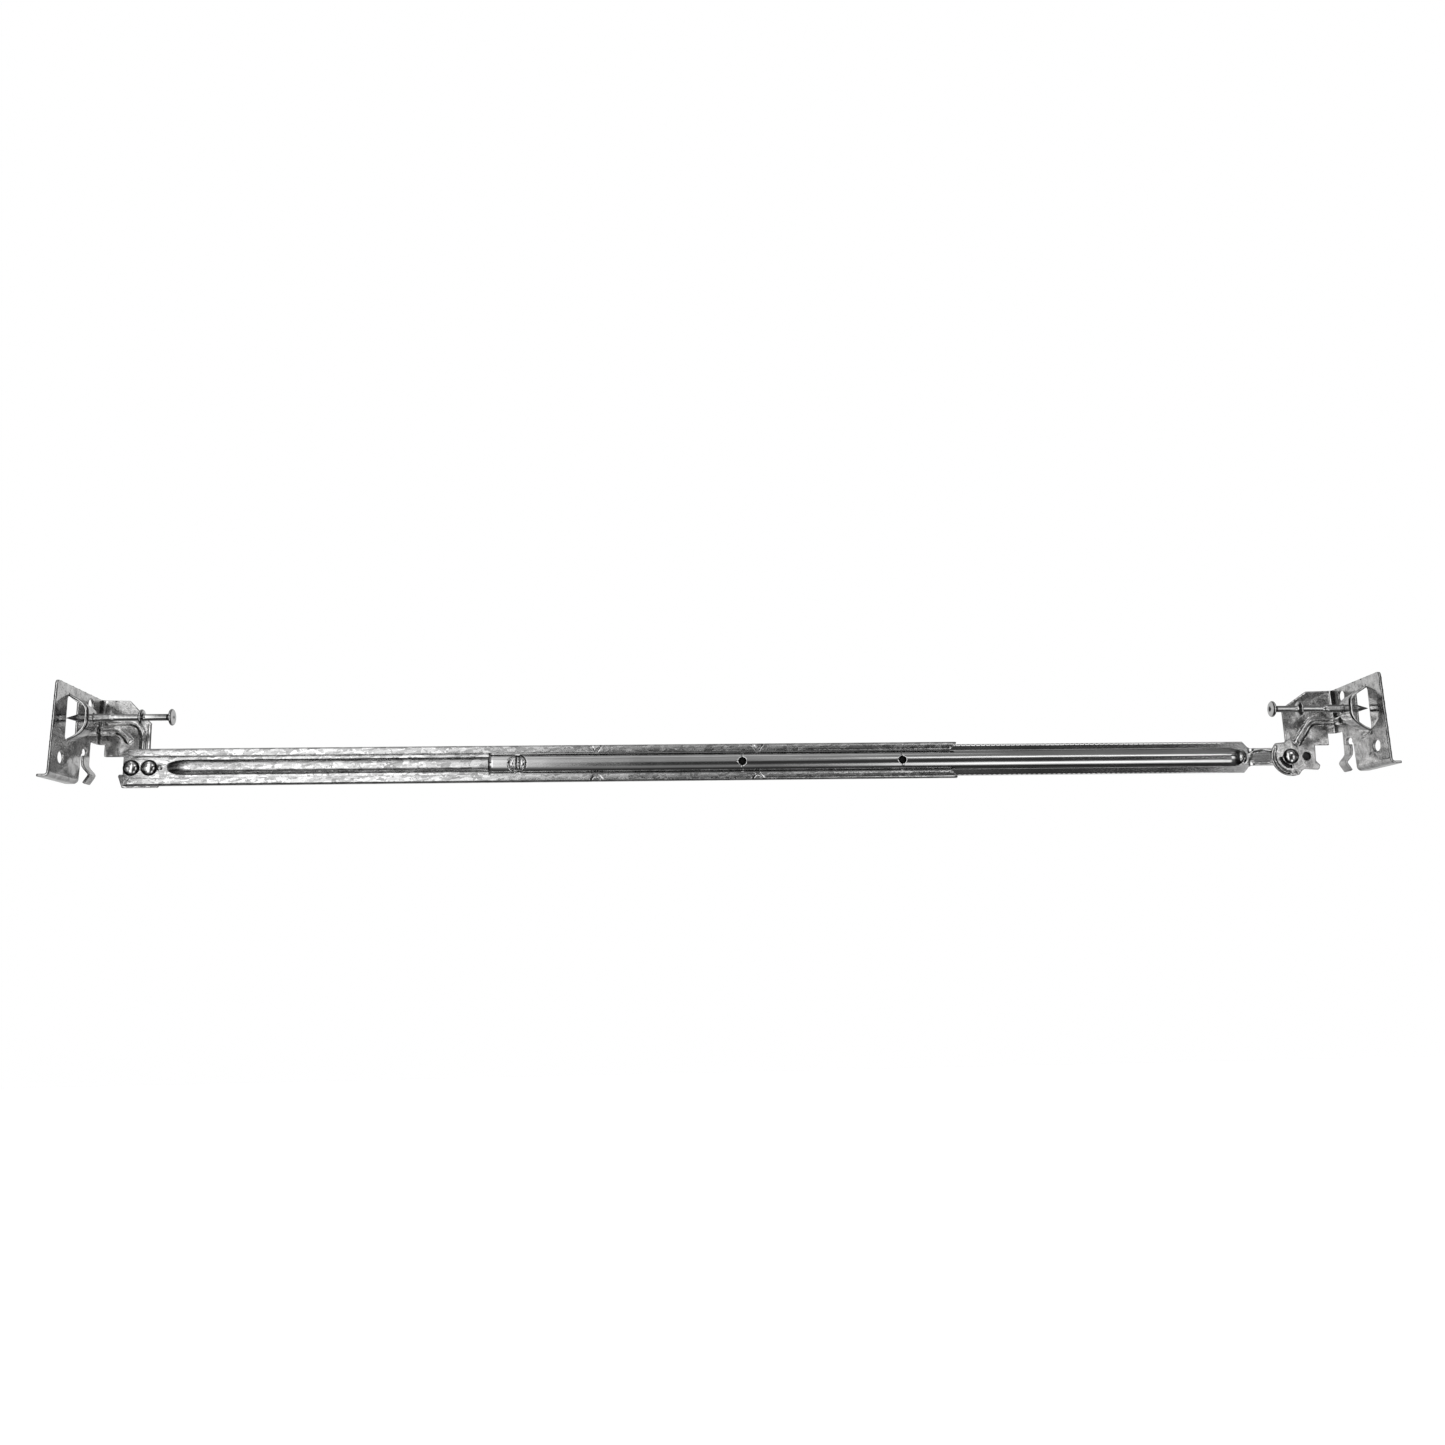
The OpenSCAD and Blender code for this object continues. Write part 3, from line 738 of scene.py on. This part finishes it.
def place_bracket(front, beads):
    """The forming of one bracket: s runs back along the flange, round the bend and out along the arm."""
    bend_y = front - BEND_R

    def place(s, v):
        y = bend_y + np.minimum(s, 0)
        turn = np.clip(s / BEND_MID, 0, math.pi / 2)
        x = BEND_X - BEND_MID * np.cos(turn) + np.maximum(s - ARC, 0)
        y = y + BEND_MID * np.sin(turn)
        z = v + 0.0
        nx, ny = np.cos(turn), -np.sin(turn)
        flat_y = bend_y + s

        # The lower panel curls outwards into the leveling lip.
        lip = (v < FOLD_Z) & (flat_y < FINGER_SPLIT)
        curl = np.clip((FOLD_Z - v) / FOLD_MID, 0, math.pi / 2)
        past = np.maximum(FOLD_Z - v - FOLD_ARC, 0)
        x = np.where(lip, -FOLD_R + FOLD_MID * np.cos(curl) - past, x)
        z = np.where(lip, FOLD_Z - FOLD_MID * np.sin(curl), z)

        # The grid finger kicks inwards and back.
        finger = (v < FINGER_ROOT) & (flat_y >= FINGER_SPLIT) & (flat_y < 14.9)
        run = np.clip(FINGER_ROOT - v, 0, FINGER_LENGTH + 0.5)
        x = np.where(finger, np.interp(run, finger_run, finger_path[:, 0]), x)
        z = np.where(finger, np.interp(run, finger_run, finger_path[:, 1]), z)

        # The nail strap is raised between its two slits.
        across = (flat_y - NEAR_SLIT_Y) / (FAR_SLIT_Y - NEAR_SLIT_Y)
        low = NEAR_SLIT[0] + across * (FAR_SLIT[0] - NEAR_SLIT[0])
        high = NEAR_SLIT[1] + across * (FAR_SLIT[1] - NEAR_SLIT[1])
        part = (v - low) / (high - low)
        strap = (flat_y > NEAR_SLIT_Y + 0.04) & (flat_y < FAR_SLIT_Y - 0.04) & (part > 0) & (part < 1)
        rise = np.interp(part, *strap_x) * STRAP_SCALE
        x = np.where(strap, x + np.maximum(rise, 0), x)

        # The half-hexagon facet beside the window leans out a little towards its free edge.
        near = flat_y - FACET_TIP_Y
        upper = NEAR_SLIT[1] - v + (flat_y - NEAR_SLIT_Y) * 0.57
        under = v - NEAR_SLIT[0] + (flat_y - NEAR_SLIT_Y) * 0.60
        facet = (flat_y < NEAR_SLIT_Y + 0.06) & (near > 0) & (upper > 0) & (under > 0)
        lean = np.minimum(near * 0.075, np.minimum(upper, under) * 0.30)
        x = np.where(facet, x - lean, x)

        # Soft dish pressed in the lower panel round the screw hole.
        dish = np.exp(-(((flat_y + 5.0) / 4.2) ** 2 + ((v + 1.8) / 3.4) ** 2)) * (flat_y < FINGER_SPLIT)
        x = x + np.where(s < 0, 0.25 * dish, 0)

        raised = np.zeros_like(v)
        points = np.stack([s, v], axis=1)
        for path, width, height, fade in beads:
            gap, along = path_distance(points, path)
            shape = smooth((width / 2 + 0.2 - gap) / 0.75)
            if fade:
                total = sum(math.dist(p, q) for p, q in zip(path, path[1:]))
                shape = shape * smooth((total - along) / fade)
            raised = raised + height * shape
        # Springback: the arm leans back a little towards its top.
        bow = 0.0010 * np.maximum(v - 6.0, 0) ** 2 * smooth(s / 3.0)
        x = x + nx * (raised - bow)
        y = y + ny * (raised - bow)
        return np.stack([x, y, z], axis=1)

    return place


def flange_part(bend_y):
    """The outline from the arm's bottom corner, round the finger, panel and lip, up to the flange's top."""

    def at(y, z, *r):
        return (y - bend_y, z, *r)

    relief = [at(9.9 + 2.0 * math.cos(a), 4.6 + 1.35 * math.sin(a))
              for a in np.linspace(math.radians(-50), math.radians(205), 22)]
    tip = FINGER_ROOT - FINGER_LENGTH
    return (
        [at(14.3, BEND_BOTTOM, 0.8), at(14.3, tip, 0.5), at(9.35, tip, 0.5), at(9.35, 3.2, 0.2)]
        + relief
        + [at(7.3, 3.2, 0.2), at(6.7, -4.6, 1.0), at(6.4, LIP_V, 1.4), at(-FLANGE_FRONT, LIP_V, 0.7),
           at(-FLANGE_FRONT, FOLD_Z, 0.2), at(-14.65, 27.6, 1.5)]
    )


def flange_holes(bend_y):
    """The two slits beside the strap, the two screw holes and the strap's nail hole."""

    def slit(y, low, high, half=0.05):
        return [(y - half - bend_y, low), (y + half - bend_y, low),
                (y + half - bend_y, high), (y - half - bend_y, high)]

    screw_holes = [circle(y - bend_y, z, SCREW_HOLE_R) for y, z in ((-8.5, 0), (12.5, 23.2))]
    nail_hole = circle(-bend_y, NAIL_HEIGHT, 1.62, 28)
    return [slit(NEAR_SLIT_Y, *NEAR_SLIT), slit(FAR_SLIT_Y, *FAR_SLIT), *screw_holes, nail_hole]


def arm_s(x):
    """Distance along the unrolled bracket of a point on the arm."""
    return ARC + x - BEND_X


def bracket_mesh(front, arm_points, beads, extra_holes, mirrored, bars=()):
    """One bracket from its arm's outline in (x, z), its beads and the flange that both ends share."""
    bend_y = front - BEND_R
    arm = [(arm_s(x), z, *r) for x, z, *r in arm_points]
    outline = rounded(arm[::-1] + flange_part(bend_y))
    holes = flange_holes(bend_y) + [circle(arm_s(x), 0, RIVET_HOLE_R) for x in (RIVET_INNER, RIVET_OUTER)]
    holes += [[(arm_s(x), z) for x, z in hole] for hole in extra_holes]
    us = np.arange(-bend_y - FLANGE_FRONT, arm_s(28.5), 0.5)
    vs = np.arange(LIP_V, 28.2, 0.5)
    flat_beads = [([(arm_s(x), z) for x, z in path], w, h, fade) for path, w, h, fade in beads]
    flat_beads += [([(y - bend_y, z) for y, z in path], w, h, 0) for path, w, h in bars]
    place = place_bracket(front, flat_beads)
    return sheet_mesh([outline] + holes, us, vs, place, BRACKET_SHEET, mirrored=mirrored)


# Each arm's outline as (x, z, corner radius), from the bend's bottom round to its top.
left_arm = [(2.8, BEND_BOTTOM, 0.3), (2.8, 4.5, 0.6), (11.0, 4.5, 0.5), (11.0, -2.4, 0.5), (8.3, -2.4, 0.7),
            (10.2, -7.6, 0.7), (23.5, -7.6, 0.5), (27.0, -4.0, 2.0), (27.8, 0, 2.0), (27.4, 3.0, 1.0),
            (25.4, 5.4, 1.0), (20.1, 6.4, 0.8), (19.9, 17.5, 0.8), (11.2, FLANGE_TOP, 1.0)]
# Each bead: its path in (x, z), width, height and the length over which its end fades.
left_beads = [
    ([(1.2, 14.9), (6.6, 14.9), (8.2, 14.5), (9.5, 13.6), (12.8, 9.9)], 2.4, 0.8, 1.2),
    ([(3.4, 18.0), (12.2, 18.0), (14.2, 17.4), (15.8, 16.0), (16.9, 13.8), (17.4, 11.4), (17.4, 4.0)],
     2.1, 0.7, 0),
    ([(19.5, 16.4), (19.6, 5.0)], 0.9, 0.45, 0),
]
add_mesh("left_bracket_skin", *bracket_mesh(LEFT_ARM_FRONT, left_arm, left_beads, [], False),
         "outer", flange_zinc, ("left_bracket",), "bracket_zinc")


def lobe_points():
    """The rounded lobe about the pivot, from above the rail round to the step under the arm."""
    return [(RIVET_OUTER + LOBE_R * math.cos(a), LOBE_R * math.sin(a))
            for a in np.radians(np.linspace(43, -111, 40))]


right_arm = [(4.2, BEND_BOTTOM, 0.3), (4.2, 4.4, 0.3), (10.0, 4.4, 0.3), (10.2, -2.0, 0.9), (8.5, -3.7, 0.8),
             (9.4, -5.5, 0.8), (15.2, -5.1, 0.6), (16.3, -5.8, 0.5)]
right_arm += lobe_points()[::-1]
right_arm += [(22.0, 5.8, 0.8), (22.3, 19.4, 0.9), (11.6, FLANGE_TOP, 1.0)]
slot_arc = [(RIVET_OUTER + r * math.cos(math.radians(a)), r * math.sin(math.radians(a)))
            for r, angles in ((PIP_RADIUS + 0.62, range(-4, -95, -6)), (PIP_RADIUS - 0.62, range(-94, -3, 6)))
            for a in angles]
right_beads = [
    ([(-3.5, 14.0), (9.4, 14.2), (11.0, 13.7), (12.2, 12.6), (18.0, 4.6)], 2.8, 0.9, 1.2),
    ([(RIVET_OUTER + 6.9 * math.cos(math.radians(a)), 6.9 * math.sin(math.radians(a)))
      for a in range(30, -110, -10)], 1.0, 0.28, 0),
]
right_bars = [([(-5.8, 5.3), (1.2, 4.8)], 0.9, 0.5)]
right_mesh = bracket_mesh(RIGHT_ARM_FRONT, right_arm, right_beads, [slot_arc], True, right_bars)
add_mesh("right_bracket_skin", *right_mesh, "right_bracket", flange_zinc, ("right_bracket",), "bracket_zinc")


# ---- rivets and nails ----


def rivet_profile(stack):
    """Stations from the back tail to the front dome; x = 0 is the stack's back face."""
    pts = [(-0.75, 0.02), (-0.75, 1.2), (-0.75, 2.3), (-0.62, 2.75), (-0.35, 2.9), (-0.08, 2.85)]
    pts.append((-0.05, 1.6))
    pts += [(stack + 0.05, 1.6), (stack + 0.06, 3.0), (stack + 0.14, 3.1)]
    height, rim = 1.45, 0.2
    for k in range(1, 19):
        a = math.pi / 2 * k / 18
        r = 3.1 * math.cos(a) ** 0.9 if k < 18 else 0.02
        pts.append((stack + rim + height * math.sin(a) ** 1.15, r))
    return pts


def add_rivet(name, x, front, back, body):
    """A rivet along Y, domed at the front, through the sheets from front to back."""
    verts, faces = lathe(rivet_profile(back - front), 72)
    verts, faces = turned_to(verts, faces, (0, -1, 0), (x, back, 0))
    add_mesh(name + "_dome", verts, faces, body, rivet_steel, (name,), "rivet_steel")


stack_back = LEFT_ARM_FRONT + BRACKET_SHEET
add_rivet("left_rivet_inner", RIVET_INNER, WEB_FRONT, stack_back, "outer")
add_rivet("left_rivet_outer", RIVET_OUTER, WEB_FRONT, stack_back, "outer")
add_rivet("right_pivot_rivet", PIVOT, RIGHT_ARM_FRONT, INNER_BACK, "inner")


def nail_mesh():
    """A captive nail along X: diamond point, fluted shank, collar and flat head."""
    tip = -NAIL_POINT_OUT
    flute_start, flute_end = tip + 5.0, 14.8
    head = tip + NAIL_LENGTH
    pts = [(tip, 0.02), (tip + 0.25, 0.16), (tip + 4.2, 1.42), (flute_start, 1.5)]
    pts += [(x, 1.53) for x in np.arange(flute_start + 0.5, flute_end - 0.3, 0.5)]
    pts += [(flute_end, 1.5), (flute_end + 0.25, 1.27), (flute_end + 1.5, 1.25), (23.9, 1.25), (24.6, 1.27)]
    pts += [(24.72, 1.4), (24.78, 2.4), (24.88, 2.85), (25.08, 3.0), (25.4, 3.0), (25.62, 2.85),
            (25.78, 2.3), (25.9, 1.6), (26.2, 1.27)]
    pts += [(27.0, 1.25), (34.2, 1.25), (35.2, 1.35)]
    # The head's back cone, its rim and a flat face with a small dimple.
    pts += [(head - 1.0, 2.2), (head - 0.82, 2.95), (head - 0.6, 3.1), (head - 0.3, 3.08),
            (head - 0.08, 2.9), (head, 2.6), (head, 0.75), (head - 0.16, 0.5), (head - 0.16, 0.02)]

    def shape(x, a):
        if x < flute_start - 0.1:
            # Four-sided diamond point, easing into the round shank.
            square = 1 / max(abs(math.cos(a)), abs(math.sin(a))) * 0.86
            t = min(1.0, max(0.0, (x - tip) / 4.6))
            return square * (1 - t**3) + t**3 * flute(a, 0.6)
        if x < flute_end + 0.1:
            return flute(a, 1.0)
        return 1.0

    def flute(a, depth):
        return 1 - depth * 0.16 * max(0.0, math.cos(6 * a)) ** 0.7

    return lathe(pts, 72, shape)


nail_verts, nail_faces = nail_mesh()
nail_verts = nail_verts + np.array([0, 0, NAIL_HEIGHT])
add_mesh("left_nail_body", nail_verts, nail_faces, "left_nail", nail_steel, ("left_nail",), "nail_steel")
other = nail_verts.copy()
other[:, 0] = SPAN - other[:, 0]
add_mesh("right_nail_body", other, [f[::-1] for f in nail_faces], "right_nail", nail_steel, ("right_nail",),
         "nail_steel")


# ---- stage, light and camera ----


def add_floor():
    """The plain pale floor, well clear of the object."""
    half, height = 6.0, -0.75
    mesh = bpy.data.meshes.new("studio_floor")
    mesh.from_pydata([(-half, -half, height), (half, -half, height), (half, half, height),
                      (-half, half, height)], [], [(0, 1, 2, 3)])
    floor = bpy.data.objects.new("studio_floor", mesh)
    bpy.context.scene.collection.objects.link(floor)
    m = Nodes("pale_floor")
    m.shader.inputs["Base Color"].default_value = (0.9, 0.9, 0.9, 1)
    m.shader.inputs["Roughness"].default_value = 0.9
    m.shader.inputs["Emission Color"].default_value = (1, 1, 1, 1)
    m.shader.inputs["Emission Strength"].default_value = 0.9
    mesh.materials.append(m.material)
    floor.visible_glossy = False


def build_world():
    """Plain white to the eye; in reflections a studio: softboxes in front, dark room, pale backdrop.

    The lights run along the object, so the studio is drawn by the angle round X: 0 is the front,
    90 the ceiling, -90 the floor, 180 the back. It differs from left to right along X.
    """
    world = bpy.data.worlds.new("studio")
    bpy.context.scene.world = world
    world.use_nodes = True
    tree = world.node_tree
    tree.nodes.clear()
    new = tree.nodes.new
    link = tree.links.new

    def maths(operation, a, b=0.0, c=None):
        node = new("ShaderNodeMath")
        node.operation = operation
        values = (a, b) if c is None else (a, b, c)
        for socket, value in zip(node.inputs, values):
            if isinstance(value, (int, float)):
                socket.default_value = value
            else:
                link(value, socket)
        return node.outputs[0]

    def step(value, low, high, to_low=0.0, to_high=1.0):
        node = new("ShaderNodeMapRange")
        node.interpolation_type = "SMOOTHSTEP"
        node.inputs["From Min"].default_value = low
        node.inputs["From Max"].default_value = high
        node.inputs["To Min"].default_value = to_low
        node.inputs["To Max"].default_value = to_high
        link(value, node.inputs["Value"])
        return node.outputs[0]

    def ring(stops):
        """Brightness round the X axis from (angle in degrees, brightness) stops."""
        node = new("ShaderNodeValToRGB")
        elements = node.color_ramp.elements
        while len(elements) < len(stops):
            elements.new(0.5)
        for element, (angle, value) in zip(elements, stops):
            element.position = (angle + 180) / 360
            element.color = (value / 2, value / 2, value / 2, 1)
        link(turn, node.inputs["Fac"])
        return maths("MULTIPLY", node.outputs["Color"], 2.0)

    where = new("ShaderNodeTexCoord")
    split = new("ShaderNodeSeparateXYZ")
    link(where.outputs["Generated"], split.inputs[0])
    x, y, z = split.outputs
    turn = maths("MULTIPLY_ADD", maths("ARCTAN2", z, maths("MULTIPLY", y, -1.0)), 0.5 / math.pi, 0.5)
    left = ring([(-180, 0.55), (-160, 0.42), (-120, 0.16), (-92, 0.05), (-60, 0.08), (-44, 0.12), (-34, 1.1),
                 (-22, 1.7), (8, 1.6), (38, 1.6), (52, 0.9), (72, 0.66), (108, 0.36), (140, 0.22),
                 (158, 0.62), (180, 0.62)])
    right = ring([(-180, 0.55), (-160, 0.42), (-120, 0.14), (-82, 0.02), (-64, 0.05), (-56, 0.7), (-45, 1.7),
                  (-34, 1.5), (-25, 0.15), (-14, 0.04), (14, 0.05), (20, 0.2), (25, 1.8), (32, 1.7),
                  (38, 0.26), (62, 0.18), (98, 0.18), (120, 0.32), (142, 0.22), (158, 0.62), (180, 0.62)])
    ends = ring([(-180, 0.55), (-160, 0.5), (-125, 0.18), (-92, 0.04), (-60, 0.08), (-24, 0.20), (-9, 1.3),
                 (9.0, 1.6), (10.6, 0.07), (22, 0.06), (30, 0.40), (58, 0.30), (75, 0.12), (120, 0.10),
                 (145, 0.2), (158, 0.62), (180, 0.62)])
    middle = ring([(-180, 0.55), (-160, 0.42), (-120, 0.14), (-82, 0.03), (-64, 0.05), (-50, 0.22),
                   (-38, 0.26), (-24, 0.05), (-8, 0.04), (4, 0.05), (12, 0.30), (40, 0.36), (70, 0.28),
                   (98, 0.22), (120, 0.32), (142, 0.22), (158, 0.62), (180, 0.62)])
    far = maths("ADD", step(x, -0.395, -0.37, 1.0, 0.0), step(x, 0.438, 0.455))

    def blend(first, second, amount):
        kept = maths("MULTIPLY", first, maths("SUBTRACT", 1.0, amount))
        return maths("MULTIPLY_ADD", second, amount, kept)

    near_middle = blend(left, middle, step(x, -0.19, -0.04))
    total = blend(blend(near_middle, right, step(x, 0.12, 0.24)), ends, far)
    # The room's two side walls are dark.
    total = maths("MULTIPLY", total, step(x, -0.64, -0.54, 0.08, 1.0))
    total = maths("MULTIPLY", total, step(x, 0.60, 0.78, 1.0, 0.12))

    seen = new("ShaderNodeBackground")
    seen.inputs["Color"].default_value = (1, 1, 1, 1)
    seen.inputs["Strength"].default_value = 1.0
    studio = new("ShaderNodeBackground")
    studio.inputs["Color"].default_value = (1.0, 1.0, 1.0, 1)
    link(total, studio.inputs["Strength"])
    path = new("ShaderNodeLightPath")
    mix = new("ShaderNodeMixShader")
    link(path.outputs["Is Camera Ray"], mix.inputs["Fac"])
    link(studio.outputs[0], mix.inputs[1])
    link(seen.outputs[0], mix.inputs[2])
    out = new("ShaderNodeOutputWorld")
    link(mix.outputs[0], out.inputs["Surface"])


def add_area(name, location, target, size, energy):
    """A soft rectangular light aimed at a point."""
    light = bpy.data.lights.new(name, "AREA")
    light.shape = "RECTANGLE"
    light.size, light.size_y = size
    light.energy = energy
    lamp = bpy.data.objects.new(name, light)
    bpy.context.scene.collection.objects.link(lamp)
    lamp.location = location
    aim = Vector(target) - Vector(location)
    lamp.rotation_euler = aim.to_track_quat("-Z", "Y").to_euler()
    return lamp


def add_camera():
    """The camera at the photograph's place and angle."""
    data = bpy.data.cameras.new("photo_view")
    camera = bpy.data.objects.new("photo_view", data)
    bpy.context.scene.collection.objects.link(camera)
    data.sensor_width = 36.0
    data.sensor_height = 36.0
    data.lens = 30.885
    data.clip_start = 0.01
    data.clip_end = 50.0
    yaw, pitch, roll = (math.radians(a) for a in (3.011, 9.792, -0.963))
    forward = Vector((math.sin(yaw) * math.cos(pitch), math.cos(yaw) * math.cos(pitch), math.sin(pitch)))
    level = Vector((math.cos(yaw), -math.sin(yaw), 0.0))
    upright = level.cross(forward)
    right = math.cos(roll) * level + math.sin(roll) * upright
    up = -math.sin(roll) * level + math.cos(roll) * upright
    turn = Matrix((right, up, -forward)).transposed().to_4x4()
    camera.matrix_world = Matrix.Translation(Vector((0.21601, -0.46193, -0.06752))) @ turn
    bpy.context.scene.camera = camera


add_floor()
build_world()
add_area("top_box", (0.25, -0.62, 1.8), (0.25, 0, 0), (1.2, 0.5), 0.6)
add_camera()
bpy.context.scene.view_settings.view_transform = "Standard"
